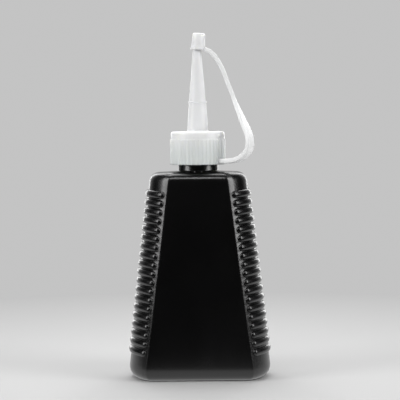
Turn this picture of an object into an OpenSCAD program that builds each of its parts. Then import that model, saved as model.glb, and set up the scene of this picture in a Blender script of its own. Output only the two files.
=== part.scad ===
/* [Bottle] */
// Height of the bottle from its foot to the flat of its shoulder
bottle_h = 88.6; // [80:0.1:100]
// Width at the shoulder, measured in the valleys between the ribs
shoulder_w = 41.1; // [38:0.1:46]
// Width at the foot, if the sides ran straight down
foot_w = 61.9; // [56:0.1:66]
// Depth at the shoulder, front to back
shoulder_d = 26; // [25:0.1:32]
// Depth at the foot, if the faces ran straight down
foot_d = 31.2; // [29:0.1:36]
// Distance from the edge of the flat panel to the side, at the shoulder
side_zone_top = 8.4; // [7:0.1:9.5]
// The same distance at the foot
side_zone_foot = 8.5; // [7:0.1:10]
// Radius that rounds the shoulder's edge
shoulder_r = 3.9; // [3:0.1:4.6]
// Radius that rounds the foot's edge
foot_r = 6.6; // [5:0.1:7.4]
// Width of the ring that the bottle stands on
standing_ring_w = 2.2; // [1.4:0.1:3]
// Height of the hollow inside the standing ring
push_up = 0.9; // [0.5:0.1:1.6]
// Thickness of the blown wall
wall = 1.2; // [0.8:0.1:1.6]

/* [Grip ribs] */
// Number of ribs down each side
rib_count = 19; // [12:1:19]
// Distance from the crest of one rib to the next, straight up
rib_pitch = 3.683; // [3.4:0.01:3.8]
// Height of the top rib's crest above the foot
top_rib_z = 79.6; // [76:0.1:80.5]
// How far a rib stands out of the side
rib_h = 1.1; // [0.6:0.1:1.4]
// Width of a rib at its root
rib_w = 3.1; // [2.4:0.1:3.2]
// Distance along the surface from the panel's edge to the end of a rib
rib_end_gap = 1.3; // [0.8:0.1:2]
// Angle by which a rib climbs towards the side
rib_tilt = 4.5; // [0:0.5:7]

/* [Neck] */
// Outside diameter of the neck
neck_d = 17.2; // [16:0.1:17.6]
// Height of the neck's rim above the shoulder
neck_h = 14.5; // [14:0.1:16]
// Thickness of the neck's wall
neck_wall = 1.5; // [1.2:0.1:2]
// Rise of one turn of the screw thread
thread_pitch = 3.175; // [3:0.005:3.3]
// Turns of thread on the neck and in the closure
thread_turns = 1.5; // [1.1:0.1:1.6]
// How far the thread stands out of the neck
thread_h = 1.1; // [0.8:0.05:1.15]
// Width of the thread at its root
thread_root_w = 1.5; // [1.1:0.05:1.6]
// Width of the thread at its crest
thread_crest_w = 0.6; // [0.4:0.05:0.8]

/* [Screw closure] */
// Outside diameter of the skirt, between its grip ribs
closure_d = 23.2; // [22.6:0.1:25]
// Distance from the shoulder up to the bottom of the skirt
closure_gap = 3.1; // [2.6:0.1:3.6]
// Thickness of the closure's roof
roof_t = 1.6; // [1.2:0.1:2]
// Thickness of the sealing washer under the roof
liner_t = 1.2; // [0.8:0.1:1.6]
// Bore of the sealing washer
liner_bore_d = 7.2; // [6.4:0.1:9]
// Number of grip ribs round the skirt
knurl_count = 44; // [30:1:48]
// How far the grip ribs stand out of the skirt
knurl_h = 0.5; // [0.3:0.05:0.7]
// Radius of a grip rib's rounded front
knurl_r = 0.55; // [0.4:0.05:0.6]
// Distance from the roof's top down to the upper ends of the grip ribs
knurl_drop = 3.3; // [2.5:0.1:4]
// Radius that rounds the roof's edge
roof_edge_r = 1.2; // [0.6:0.1:1.5]

/* [Spout] */
// Length of the spout above the roof
spout_l = 38.4; // [34:0.1:44]
// Diameter of the spout at its foot
spout_foot_d = 8.9; // [8.4:0.1:9.6]
// Diameter of the spout just under the bead that divides it
spout_bead_d = 7.4; // [7.2:0.1:7.8]
// Height of the bead above the roof
bead_z = 12.5; // [11:0.1:15]
// Step at the bead, measured on the radius
bead_step = 0.14; // [0.05:0.01:0.2]
// Diameter of the spout's tip
spout_tip_d = 3.2; // [3:0.1:3.4]
// Thickness of the spout's wall
spout_wall = 1.1; // [0.9:0.05:1.2]
// Diameter of the hole that the powder leaves by
orifice_d = 1.5; // [1:0.1:1.7]
// Length of that hole
orifice_l = 3; // [2:0.1:4]

/* [Tip cap] */
// Height of the tip cap
cap_h = 7.4; // [6.6:0.1:9]
// Diameter of the tip cap at its mouth
cap_mouth_d = 6.4; // [6.2:0.1:7.2]
// Diameter of the tip cap at its top
cap_top_d = 5.6; // [5.4:0.1:6.4]
// How far the tip cap reaches down over the spout
cap_grip = 3.6; // [3.3:0.1:4.6]
// Room between the cap's mouth and the spout, on the radius
cap_play = 0.5; // [0.42:0.02:0.56]
// How much the cap's mouth widens inside, on the radius
cap_flare = 0.25; // [0.2:0.05:0.35]
// Height of that widening
cap_flare_h = 1.2; // [1:0.1:1.6]
// Angle by which the tip cap leans on the spout
cap_lean = 3.5; // [0:0.5:4]
// How far the lip round the cap's mouth stands out
cap_lip = 0.25; // [0.1:0.05:0.4]
// Height of that lip
cap_lip_h = 1.1; // [0.8:0.1:1.6]

/* [Strap] */
// Width of the strap
strap_w = 4.2; // [3.4:0.1:5]
// Thickness of the strap
strap_t = 1.5; // [1.3:0.05:1.7]
// Distance from the spout's axis to the middle of the strap where it bows out furthest
strap_reach = 22.5; // [20.5:0.1:25]
// Distance from the bottom of the skirt to the middle of the strap's root
strap_root_z = 1.6; // [1.4:0.1:2.4]
// Angle round the closure at which the strap grows out of the skirt, towards the front
strap_root_angle = 30; // [0:1:34]
// Distance from the tip cap's wall out to the strap's last bending line
strap_end_gap = 0.7; // [0.6:0.05:1]

/* [Graphite powder] */
// Height of the powder above the foot
powder_top_z = 70; // [30:0.5:78]
// Room between the powder and the wall
powder_gap = 0.25; // [0.2:0.05:0.4]

/* [Hidden] */
$fn = 64;

// Running clearances, overruns and small sizes
cut = 1;
fold_clearance = 0.08;
thread_clearance = 0.25;
liner_edge_gap = 0.3;
knuckle_inset = 0.05;
crown_rise = 0.3;
floor_t = 1.4;
cap_edge_r = 0.6;
spout_fillet = 0.5;

// Heights that the pieces share
neck_top_z = bottle_h + neck_h;
skirt_z = bottle_h + closure_gap;
roof_under_z = neck_top_z + liner_t;
roof_top_z = roof_under_z + roof_t;
spout_tip_z = roof_top_z + spout_l;
cap_mouth_z = spout_tip_z - cap_grip;

// The flat panel and the rounded side, as halves of the section at a height
function half_w(z) = foot_w / 2 + (shoulder_w - foot_w) / 2 * z / bottle_h;
function half_d(z) = foot_d / 2 + (shoulder_d - foot_d) / 2 * z / bottle_h;
function side_zone(z) = side_zone_foot + (side_zone_top - side_zone_foot) * z / bottle_h;

// A level of the section is [height, inset, place across a rib, share of the rib's climb]
no_rib = 2;
panel_pull_share = 0.5;
function sec_w(z, inset) = half_w(z) - inset;
function sec_d(z, inset) = half_d(z) - inset;
function sec_zone(z, inset) = side_zone(z) - inset * panel_pull_share;
function arc_turn(z, inset) = 2 * atan(sec_zone(z, inset) / sec_d(z, inset));
function arc_r(z, inset) = sec_d(z, inset) / sin(arc_turn(z, inset));

// Columns round one side: places along the rib's round end, then shares of its straight run
rib_end_shares = [1, 0.7, 0];
side_steps = 4;
function degrees_on(length, r) = length / r * 180 / PI;
function end_angle(z, inset, share) = arc_turn(z, inset)
    - degrees_on(rib_end_gap + (1 - share) * rib_w / 2, arc_r(z, inset));
function front_columns(z, inset) = concat(
    [[arc_turn(z, inset), 1]],
    [for (share = rib_end_shares) [end_angle(z, inset, share), share]],
    [for (i = [1 : side_steps - 1]) [end_angle(z, inset, 0) * (1 - i / side_steps), 0]]);
function side_columns(z, inset) = let (front = front_columns(z, inset)) concat(
    [for (c = front) [-c[0], c[1]]],
    [[0, 0]],
    [for (i = [len(front) - 1 : -1 : 0]) front[i]]);

function rib_rise(across, share) = rib_h * sqrt(max(0, 1 - across * across - share * share));

// One point of the section, where the climb of the ribs lowers it towards the panel
function side_point(level, column, inset) =
    let (r = arc_r(level[0], inset),
         x = sec_w(level[0], inset) - r + r * cos(column[0]),
         z = level[0] - level[3] * tan(rib_tilt) * (sec_w(level[0], inset) - x),
         r2 = arc_r(z, inset),
         rise = rib_rise(level[2], column[1]))
    [sec_w(z, inset) - r2 + (r2 + rise) * cos(column[0]), (r2 + rise) * sin(column[0]), z];

function ring(level, extra) =
    let (inset = level[1] + extra,
         side = [for (c = side_columns(level[0], inset)) side_point(level, c, inset)])
    concat(side, [for (p = side) [-p[0], -p[1], p[2]]]);

// A closed skin over a list of rings that all have the same number of points
function skin_faces(rows, n) = concat(
    [[for (i = [0 : n - 1]) i]],
    [for (k = [0 : rows - 2], i = [0 : n - 1]) [k * n + i, (k + 1) * n + i, (k + 1) * n + (i + 1) % n]],
    [for (k = [0 : rows - 2], i = [0 : n - 1]) [k * n + i, (k + 1) * n + (i + 1) % n, k * n + (i + 1) % n]],
    [[for (i = [n - 1 : -1 : 0]) (rows - 1) * n + i]]);

module skin(rings) {
    n = len(rings[0]);
    polyhedron(points = [for (r = rings, p = r) p], faces = skin_faces(len(rings), n), convexity = 8);
}

// Levels of the outside, from the hollow of the foot up to the crown of the shoulder
round_steps = 4;
rib_row_shares = [-1, -0.7, 0, 0.7, 1];
foot_levels = concat(
    [[push_up, foot_r + standing_ring_w + push_up, no_rib, 0],
     [0, foot_r + standing_ring_w, no_rib, 0]],
    [for (i = [0 : round_steps]) let (a = 90 * i / round_steps)
        [foot_r * (1 - cos(a)), foot_r * (1 - sin(a)), no_rib, 0]]);
bottom_rib_z = top_rib_z - (rib_count - 1) * rib_pitch;
rib_levels = [for (k = [0 : rib_count - 1], share = rib_row_shares)
    [bottom_rib_z + k * rib_pitch + share * rib_w / 2, 0, share, 1]];
shoulder_levels = concat(
    [for (i = [0 : round_steps]) let (a = 90 * i / round_steps)
        [bottle_h - shoulder_r * (1 - sin(a)), shoulder_r * (1 - cos(a)), no_rib, 0]],
    [[bottle_h + crown_rise, shoulder_r * 2, no_rib, 0]]);

module bottle_outside() {
    skin([for (level = concat(foot_levels, rib_levels, shoulder_levels)) ring(level, 0)]);
}

// The hollow of the bottle, and the powder in it, follow the outside at a distance
inner_foot_r = foot_r - wall;
function inner_levels(low, high, top_r) = concat(
    [for (i = [0 : round_steps]) let (a = 90 * i / round_steps)
        [low + inner_foot_r * (1 - cos(a)), inner_foot_r * (1 - sin(a)), no_rib, 0]],
    [for (i = [0 : round_steps]) let (a = 90 * i / round_steps)
        [high - top_r * (1 - sin(a)), top_r * (1 - cos(a)), no_rib, 0]]);

module bottle_inside() {
    inner_shoulder_r = shoulder_r - wall;
    levels = inner_levels(push_up + floor_t, bottle_h - wall, inner_shoulder_r);
    skin([for (level = levels) ring(level, wall)]);
}

module bottle_neck() {
    translate([0, 0, bottle_h - wall]) cylinder(d = neck_d, h = neck_h + wall);
}

// A screw thread with flanks that taper and ends that run out. Its section is
// [radius, height], counted from the middle of the thread at angle 0.
thread_steps = 24;
runout_share = 0.12;
least_rise_share = 0.05;
function runout(share) = min(1, share / runout_share, (1 - share) / runout_share);
function thread_section(root_r, rise, scale) = let (crest_r = root_r + rise * scale) [
    [root_r, -thread_root_w / 2],
    [crest_r, -(thread_crest_w + (thread_root_w - thread_crest_w) * (1 - scale)) / 2],
    [crest_r, (thread_crest_w + (thread_root_w - thread_crest_w) * (1 - scale)) / 2],
    [root_r, thread_root_w / 2]];
function thread_ring(root_r, rise, turn, share) =
    let (s = thread_section(root_r, rise, max(least_rise_share, runout(share))),
         a = turn * 360)
    [for (p = s) [p[0] * cos(a), p[0] * sin(a), p[1] + turn * thread_pitch]];

module thread(root_r, rise, z, inward) {
    steps = ceil(thread_steps * thread_turns);
    rings = [for (i = [0 : steps]) thread_ring(root_r, rise, thread_turns * i / steps, i / steps)];
    faces = skin_faces(len(rings), 4);
    translate([0, 0, z])
        polyhedron(points = [for (r = rings, p = r) p],
            faces = inward ? faces : [for (f = faces) [for (i = [len(f) - 1 : -1 : 0]) f[i]]]);
}

// The neck's thread starts here, and the closure's runs half a pitch below it
thread_embed = 0.2;
thread_start_share = 1.35;
neck_thread_z = skirt_z + thread_pitch * thread_start_share;
closure_thread_z = neck_thread_z - thread_pitch / 2;

module bottle() {
    color([0.03, 0.03, 0.035])
    union() {
        difference() {
            union() {
                bottle_outside();
                bottle_neck();
            }
            bottle_inside();
            translate([0, 0, bottle_h - wall - cut])
                cylinder(d = neck_d - 2 * neck_wall, h = neck_h + wall + 2 * cut);
        }
        thread(neck_d / 2 - thread_embed, thread_h + thread_embed, neck_thread_z, false);
    }
}

module graphite_powder() {
    levels = inner_levels(push_up + floor_t + powder_gap, powder_top_z, powder_gap);
    color([0.22, 0.22, 0.24])
        skin([for (level = levels) ring(level, wall + powder_gap)]);
}

// Screw closure
skirt_bore_r = neck_d / 2 + thread_h + thread_clearance;
closure_r = closure_d / 2;

module seal_liner() {
    color([0.86, 0.86, 0.84])
    translate([0, 0, neck_top_z])
    difference() {
        cylinder(r = skirt_bore_r - liner_edge_gap, h = liner_t);
        translate([0, 0, -cut]) cylinder(d = liner_bore_d, h = liner_t + 2 * cut);
    }
}

// Right half of the closure and spout, seen in section
arc_steps = 6;
function arc_points(cx, cy, r, from, to) = [for (i = [0 : arc_steps])
    let (a = from + (to - from) * i / arc_steps) [cx + r * cos(a), cy + r * sin(a)]];
bead_top_r = spout_bead_d / 2 - bead_step;
bore_bead_r = bead_top_r - spout_wall;
closure_profile = concat(
    [[skirt_bore_r, skirt_z], [closure_r, skirt_z]],
    arc_points(closure_r - roof_edge_r, roof_top_z - roof_edge_r, roof_edge_r, 0, 90),
    [[spout_foot_d / 2 + spout_fillet, roof_top_z],
     [spout_foot_d / 2, roof_top_z + spout_fillet],
     [spout_bead_d / 2, roof_top_z + bead_z],
     [bead_top_r, roof_top_z + bead_z + bead_step * 2],
     [spout_tip_d / 2, spout_tip_z],
     [orifice_d / 2, spout_tip_z],
     [orifice_d / 2, spout_tip_z - orifice_l],
     [bore_bead_r, roof_top_z + bead_z],
     [spout_foot_d / 2 - spout_wall, roof_under_z],
     [skirt_bore_r, roof_under_z]]);

module knurls() {
    bar_r = closure_r + knurl_h - knurl_r;
    translate([0, 0, skirt_z])
    linear_extrude(roof_top_z - knurl_drop - skirt_z)
    difference() {
        union() {
            circle(r = closure_r);
            for (i = [0 : knurl_count - 1])
                rotate(360 * (i + 0.5) / knurl_count) translate([bar_r, 0]) circle(r = knurl_r, $fn = 16);
        }
        circle(r = (skirt_bore_r + closure_r) / 2);
    }
}

module spout_closure() {
    color([0.9, 0.91, 0.88])
    union() {
        rotate_extrude() polygon(closure_profile);
        knurls();
        thread(skirt_bore_r + thread_embed, -(thread_h + thread_embed), closure_thread_z, true);
        strap_part(-1);
    }
}

// Strap: places of its middle line, as shares of its reach out and its rise.
// Those below run from the skirt out to the reach, those above from the reach in to the cap.
low_x_shares = [0, 0.298, 0.637, 0.895, 0.992, 1];
high_x_shares = [0.946, 0.844, 0.683, 0.511, 0.376, 0.231, 0.108, 0];
low_z_shares = [0, 0.001, 0.023, 0.074, 0.129, 0.2];
high_z_shares = [0.274, 0.371, 0.525, 0.696, 0.829, 0.926, 0.98, 1];
fold_places = [1, 2, 7, 10, 13];
twist_start_share = 0.15;
twist_end_share = 0.56;

root_x = (skirt_bore_r + closure_r) / 2 * cos(strap_root_angle);
root_z = skirt_z + strap_root_z;
cap_fold_x = cap_mouth_d / 2 + strap_end_gap;
cap_fold_z = cap_mouth_z;
strap_rise = cap_fold_z - root_z;
z_shares = concat(low_z_shares, high_z_shares);
strap_x = concat(
    [for (s = low_x_shares) root_x + (strap_reach - root_x) * s],
    [for (s = high_x_shares) cap_fold_x + (strap_reach - cap_fold_x) * s]);

function smooth(t) = t <= 0 ? 0 : t >= 1 ? 1 : t * t * (3 - 2 * t);
function twist_at(z_share) = strap_root_angle
    * (1 - smooth((z_share - twist_start_share) / (twist_end_share - twist_start_share)));
function strap_place(i) = [strap_x[i], -strap_x[i] * tan(twist_at(z_shares[i])), root_z + strap_rise * z_shares[i]];
places = [for (i = [0 : len(z_shares) - 1]) strap_place(i)];
last_place = len(places) - 1;

// A smooth curve through the places, and its direction
function place(i) = i < 0 ? 2 * places[0] - places[1]
    : i > last_place ? 2 * places[last_place] - places[last_place - 1] : places[i];
function curve(u) = let (i = min(floor(u), last_place - 1), t = u - i,
        a = place(i - 1), b = place(i), c = place(i + 1), d = place(i + 2))
    (2 * b + (c - a) * t + (2 * a - 5 * b + 4 * c - d) * t * t + (3 * b - a - 3 * c + d) * t * t * t) / 2;
curve_step_share = 0.02;
function unit(v) = v / norm(v);
function direction(u) = unit(curve(u + curve_step_share) - curve(u - curve_step_share));
function twist_on(u) = twist_at((curve(u)[2] - root_z) / strap_rise);
function across(u) = let (t = direction(u), w = [sin(twist_on(u)), cos(twist_on(u)), 0])
    unit(w - t * (w * t));

// The strap's section is a flat bar with its corners taken off
corner_share = 0.25;
function strap_ring(u) = let (c = curve(u), w = across(u), n = cross(direction(u), w),
        hw = strap_w / 2, ht = strap_t / 2, k = strap_t * corner_share)
    [for (p = [[hw, -ht + k], [hw, ht - k], [hw - k, ht], [-hw + k, ht],
               [-hw, ht - k], [-hw, -ht + k], [-hw + k, -ht], [hw - k, -ht]])
        c + w * p[0] + n * p[1]];
strap_steps = 3;
overrun_share = 0.45;

module strap_run(from, to) {
    n = max(2, ceil((to - from) * strap_steps));
    skin([for (i = [0 : n]) strap_ring(from + (to - from) * i / n)]);
}

// Everything on the far side of a plane that holds the fold line, moved along by a distance
module beyond_fold(k, distance) {
    t = direction(fold_places[k]);
    c = curve(fold_places[k]);
    size = strap_w * 4;
    translate(c) rotate([0, 90 - atan2(t[2], t[0]), 0])
        translate([-size / 2, -size / 2, distance]) cube(size);
}

fold_r = strap_t / 2 - knuckle_inset;
module fold_rod(k, extra, longer) {
    length = (strap_w - 2 * corner_share * strap_t) * cos(twist_on(fold_places[k])) + longer;
    translate(curve(fold_places[k])) rotate([90, 0, 0]) cylinder(r = fold_r + extra, h = length, center = true);
}

// Each link has a rounded end at its last fold and a socket at its first. Link -1 is the root.
setback_share = 1.05;
fold_setback = (fold_r + fold_clearance) * setback_share;
module strap_part(k) {
    first = k < 0 ? 0 : fold_places[k];
    last = fold_places[k + 1];
    difference() {
        union() {
            difference() {
                strap_run(first, min(last + overrun_share, last_place));
                beyond_fold(k + 1, 0);
            }
            fold_rod(k + 1, 0, 0);
        }
        if (k >= 0) {
            fold_rod(k, fold_clearance, strap_w);
            difference() {
                before_fold(k);
                beyond_fold(k, fold_setback);
            }
        }
    }
}
module before_fold(k) {
    c = curve(fold_places[k]);
    size = strap_w * 2;
    translate(c) cube(size, center = true);
}

module strap_link_1() {
    color([0.9, 0.91, 0.88]) strap_part(0);
}
module strap_link_2() {
    color([0.9, 0.91, 0.88]) strap_part(1);
}
module strap_link_3() {
    color([0.9, 0.91, 0.88]) strap_part(2);
}
module strap_link_4() {
    color([0.9, 0.91, 0.88]) strap_part(3);
}

// Tip cap
cap_cavity_gap = 0.5;
module tip_cap() {
    mouth_r = spout_tip_d / 2 + (bead_top_r - spout_tip_d / 2) * cap_grip / (spout_l - bead_z) + cap_play;
    cavity_h = cap_grip + cap_cavity_gap;
    top_r = spout_tip_d / 2 + cap_play;
    profile = concat(
        [[mouth_r + cap_flare, 0], [cap_mouth_d / 2 + cap_lip, 0],
         [cap_mouth_d / 2 + cap_lip, cap_lip_h],
         [cap_mouth_d / 2, cap_lip_h + cap_lip]],
        arc_points(cap_top_d / 2 - cap_edge_r, cap_h - cap_edge_r, cap_edge_r, 0, 90),
        [[0, cap_h], [0, cavity_h], [top_r, cavity_h],
         [mouth_r + (top_r - mouth_r) * cap_flare_h / cavity_h, cap_flare_h]]);
    color([0.9, 0.91, 0.88])
    difference() {
        translate([0, 0, cap_mouth_z + cap_grip / 2]) rotate([0, cap_lean, 0])
            translate([0, 0, -cap_grip / 2]) rotate_extrude() polygon(profile);
        fold_rod(4, fold_clearance, strap_w);
    }
}

bottle();
graphite_powder();
seal_liner();
spout_closure();
strap_link_1();
strap_link_2();
strap_link_3();
strap_link_4();
tip_cap();
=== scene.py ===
"""Looks of a squeeze bottle for dry graphite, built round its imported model.

A black blown bottle has grip ribs on both sides. Its pale screw closure carries a long
spout, and a small cap stands on the spout's tip and hangs on a strap that is moulded in one
piece with the closure. Sizes are in millimetres and become metres when a mesh is made.
"""

from __future__ import annotations

import logging
import math
from dataclasses import dataclass
from enum import Enum
from typing import Sequence

import bpy
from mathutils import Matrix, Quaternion, Vector

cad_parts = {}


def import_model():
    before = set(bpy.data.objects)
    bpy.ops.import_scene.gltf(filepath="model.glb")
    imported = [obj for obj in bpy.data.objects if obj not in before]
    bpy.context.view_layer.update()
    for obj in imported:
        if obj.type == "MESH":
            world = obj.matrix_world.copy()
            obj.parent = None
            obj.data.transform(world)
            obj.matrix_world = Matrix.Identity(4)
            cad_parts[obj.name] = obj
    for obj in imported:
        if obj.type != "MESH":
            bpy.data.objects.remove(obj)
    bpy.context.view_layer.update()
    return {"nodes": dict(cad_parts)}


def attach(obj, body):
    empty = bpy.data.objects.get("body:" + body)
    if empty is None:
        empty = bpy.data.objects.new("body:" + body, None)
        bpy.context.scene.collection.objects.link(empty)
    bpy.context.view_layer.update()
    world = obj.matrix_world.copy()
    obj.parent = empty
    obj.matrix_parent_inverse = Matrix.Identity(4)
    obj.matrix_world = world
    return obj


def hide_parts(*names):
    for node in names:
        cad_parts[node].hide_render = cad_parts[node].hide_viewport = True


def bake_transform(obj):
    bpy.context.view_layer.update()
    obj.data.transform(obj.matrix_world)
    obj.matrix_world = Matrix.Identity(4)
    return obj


MM = 0.001
FULL_TURN = 2 * math.pi
WELD = 2e-6
NO_RIB = 2.0
CREST = "crest"

Piece = bpy.types.Object
Paint = bpy.types.Material
Socket = bpy.types.NodeSocket
Triple = tuple[float, float, float]
Span = tuple[float, float]
Colour = Sequence[float]
Noise = tuple[float, float, Triple]
Bumps = tuple[Triple, ...]
Inputs = dict[str | int, object]
Ring = list[Vector]
Outline = list[tuple[float, float]]
log = logging.getLogger("graphite_bottle")


class Slot(Enum):
    """Material slots of the record."""

    BOTTLE = "black_polyethylene"
    CLOSURE = "natural_polyethylene"
    LINER = "liner_foam"
    POWDER = "graphite"


class End(Enum):
    """How the first and last ring of a skin are treated."""

    POLE = "each ring is a single spot"
    FLAT = "each ring is filled with a flat face"


# ---- Modelling steps that several pieces share ----


def deselect_all() -> None:
    """Leaves nothing selected, in object mode."""
    if bpy.context.object and bpy.context.object.mode != "OBJECT":
        bpy.ops.object.mode_set(mode="OBJECT")
    bpy.ops.object.select_all(action="DESELECT")


def begin_edit(piece: Piece) -> None:
    """Opens one piece in edit mode with all of it selected.

    Args:
        piece: the mesh object to edit.
    """
    deselect_all()
    piece.select_set(True)
    bpy.context.view_layer.objects.active = piece
    bpy.ops.object.mode_set(mode="EDIT")
    bpy.ops.mesh.select_all(action="SELECT")


def close_skin(piece: Piece, fill_ends: bool) -> None:
    """Welds a skin's seam, fills its open ends and turns its faces outwards.

    Args:
        piece: the mesh object.
        fill_ends: whether open ends are filled with a flat face each.
    """
    begin_edit(piece)
    bpy.ops.mesh.remove_doubles(threshold=WELD)
    bpy.ops.mesh.delete_loose(use_verts=True, use_edges=True, use_faces=False)
    if fill_ends:
        bpy.ops.mesh.select_all(action="DESELECT")
        bpy.ops.mesh.select_mode(type="EDGE")
        bpy.ops.mesh.select_non_manifold(extend=False)
        bpy.ops.mesh.fill_holes(sides=0)
        bpy.ops.mesh.select_mode(type="VERT")
    bpy.ops.mesh.select_all(action="SELECT")
    bpy.ops.mesh.normals_make_consistent(inside=False)
    bpy.ops.object.mode_set(mode="OBJECT")


def skin(name: str, rings: Sequence[Ring], ends: End) -> Piece:
    """Lays a grid over rings that have the same number of points and closes it.

    Args:
        name: name of the new piece.
        rings: the rings, in millimetres, from one end of the skin to the other.
        ends: how the first and last ring are treated.

    Returns:
        The new mesh object.
    """
    columns, rows = len(rings[0]), len(rings) - 1
    deselect_all()
    bpy.ops.mesh.primitive_grid_add(x_subdivisions=columns, y_subdivisions=rows, size=2.0)
    piece = bpy.context.object
    piece.name = piece.data.name = name
    for vertex in piece.data.vertices:
        column = round((vertex.co.x + 1) / 2 * columns) % columns
        row = round((vertex.co.y + 1) / 2 * rows)
        vertex.co = rings[row][column] * MM
    close_skin(piece, fill_ends=ends is End.FLAT)
    return piece


def turned(name: str, outline: Outline, steps: int) -> Piece:
    """Spins a closed outline round the upright axis, as on a lathe.

    Args:
        name: name of the new piece.
        outline: (radius, height) pairs in millimetres, in order round it.
        steps: number of steps of the spin.

    Returns:
        The new mesh object.
    """
    deselect_all()
    bpy.ops.mesh.primitive_circle_add(vertices=len(outline), fill_type="NOTHING")
    piece = bpy.context.object
    piece.name = piece.data.name = name
    for vertex, (radius, height) in zip(piece.data.vertices, outline):
        vertex.co = Vector((radius, 0, height)) * MM
    begin_edit(piece)
    bpy.ops.mesh.spin(steps=steps, angle=FULL_TURN, center=(0, 0, 0), axis=(0, 0, 1))
    close_skin(piece, fill_ends=False)
    return piece


def arc(cx: float, cy: float, radius: float, start: float, end: float, steps: int) -> Outline:
    """Points of an arc round (cx, cy) between two angles in degrees, both ends included."""
    angles = [math.radians(start + (end - start) * i / steps) for i in range(steps + 1)]
    return [(cx + radius * math.cos(a), cy + radius * math.sin(a)) for a in angles]


def circle(bearings: Sequence[float], radius: float, z: float) -> Ring:
    """A level ring round the axis, with a point at each bearing."""
    return [Vector((radius * math.cos(b), radius * math.sin(b), z)) for b in bearings]


def across(low: Ring, high: Ring, share: float) -> Ring:
    """A ring at a share of the way from one ring to another."""
    return [p.lerp(q, share) for p, q in zip(low, high)]


def smooth_step(t: float) -> float:
    """Eases from 0 to 1 as t goes from 0 to 1."""
    t = min(max(t, 0.0), 1.0)
    return t * t * (3 - 2 * t)


def dress(piece: Piece, finish: Paint, sharp_angle: float) -> None:
    """Shades a new piece smooth and gives it its material.

    Args:
        piece: the mesh object.
        finish: the material.
        sharp_angle: angle in degrees above which an edge stays sharp.
    """
    deselect_all()
    piece.select_set(True)
    bpy.context.view_layer.objects.active = piece
    bpy.ops.object.shade_smooth_by_angle(angle=math.radians(sharp_angle))
    piece.data.materials.append(finish)


def report(piece: Piece) -> None:
    """Logs the name of a finished piece and its number of faces."""
    log.info("%s: %d faces", piece.name, len(piece.data.polygons))


# ---- Finishes ----


class NodeBoard:
    """The node tree of a material or a world, with the steps that the finishes use."""

    def __init__(self, tree: bpy.types.NodeTree, shader: str, place: str) -> None:
        """Finds the tree's own shader and adds the coordinates that it goes by.

        Args:
            tree: the node tree.
            shader: type of the shader that the tree starts with.
            place: name of the coordinates.
        """
        self.tree = tree
        self.shader = next(n for n in tree.nodes if n.type == shader)
        self.place = self.add("ShaderNodeTexCoord").outputs[place]

    def fill(self, node: bpy.types.Node, inputs: Inputs) -> None:
        """Links sockets to a node's inputs and sets constants on them.

        Args:
            node: the node.
            inputs: what each input gets, by its name or count.
        """
        for key, value in inputs.items():
            if isinstance(value, Socket):
                self.tree.links.new(value, node.inputs[key])
            else:
                node.inputs[key].default_value = value

    def add(self, kind: str, inputs: Inputs | None = None, **settings: object) -> bpy.types.Node:
        """Adds a node.

        Args:
            kind: type of the node.
            inputs: what each input gets, by its name or count.
            settings: the node's properties by name.

        Returns:
            The new node.
        """
        node = self.tree.nodes.new(kind)
        for key, value in settings.items():
            setattr(node, key, value)
        self.fill(node, inputs or {})
        return node

    def set(self, **values: object) -> None:
        """Fills the shader's own inputs, with _ for each space in their names."""
        self.fill(self.shader, {key.replace("_", " "): value for key, value in values.items()})

    def noise(self, grain: float, detail: float, stretch: Triple = (1, 1, 1)) -> Socket:
        """Adds noise over the piece.

        Args:
            grain: size of its grains, in millimetres.
            detail: number of finer layers.
            stretch: scale of the pattern along x, y and z.

        Returns:
            The noise's value socket.
        """
        mapped = self.add("ShaderNodeMapping", {"Vector": self.place, "Scale": stretch})
        inputs = {"Vector": mapped.outputs[0], "Scale": 1 / (grain * MM), "Detail": detail}
        return self.add("ShaderNodeTexNoise", inputs).outputs["Fac"]

    def math(self, operation: str, first: Socket, second: Socket | float) -> Socket:
        """Works out one step of arithmetic."""
        return self.add("ShaderNodeMath", {0: first, 1: second}, operation=operation).outputs[0]

    def rays(self, kind: str) -> Socket:
        """Is 1 for rays of one kind, and 0 for others."""
        return self.add("ShaderNodeLightPath").outputs[f"Is {kind} Ray"]

    def spread(self, value: Socket, low: float, high: float, span: Span = (0.3, 0.7)) -> Socket:
        """Maps a value that goes along a span onto low..high."""
        ends = {"From Min": span[0], "From Max": span[1], "To Min": low, "To Max": high}
        return self.add("ShaderNodeMapRange", {"Value": value, **ends}).outputs["Result"]

    def ramp(self, value: Socket, span: Span, low: Colour, high: Colour) -> Socket:
        """Colours a value by a ramp between two colours.

        Args:
            value: the value to colour.
            span: the values that the two colours stand at.
            low: red, green and blue at the lower value.
            high: red, green and blue at the higher value.

        Returns:
            The colour socket.
        """
        node = self.add("ShaderNodeValToRGB", {0: value})
        for element, spot, colour in zip(node.color_ramp.elements, span, (low, high)):
            element.position = spot
            element.color = (*colour, 1)
        return node.outputs["Color"]

    def mix(self, share: Socket, first: Socket, second: Colour) -> Socket:
        """Mixes a share of a constant colour into a colour socket."""
        inputs = {0: share, 6: first, 7: (*second, 1)}
        return self.add("ShaderNodeMix", inputs, data_type="RGBA").outputs[2]

    def bump(self, layers: Sequence[tuple[Socket, float]]) -> None:
        """Stacks bump layers and gives them to the shader.

        Args:
            layers: (height socket, depth in millimetres) pairs.
        """
        stack: Inputs = {}
        for socket, depth in layers:
            inputs = {"Strength": 1.0, "Distance": depth * MM, "Height": socket, **stack}
            stack = {"Normal": self.add("ShaderNodeBump", inputs).outputs["Normal"]}
        self.fill(self.shader, stack)

    def roughen(self, bumps: Bumps) -> None:
        """Stacks noise as bumps, each given as its grain, detail and depth."""
        self.bump([(self.noise(grain, detail), depth) for grain, detail, depth in bumps])


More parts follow.
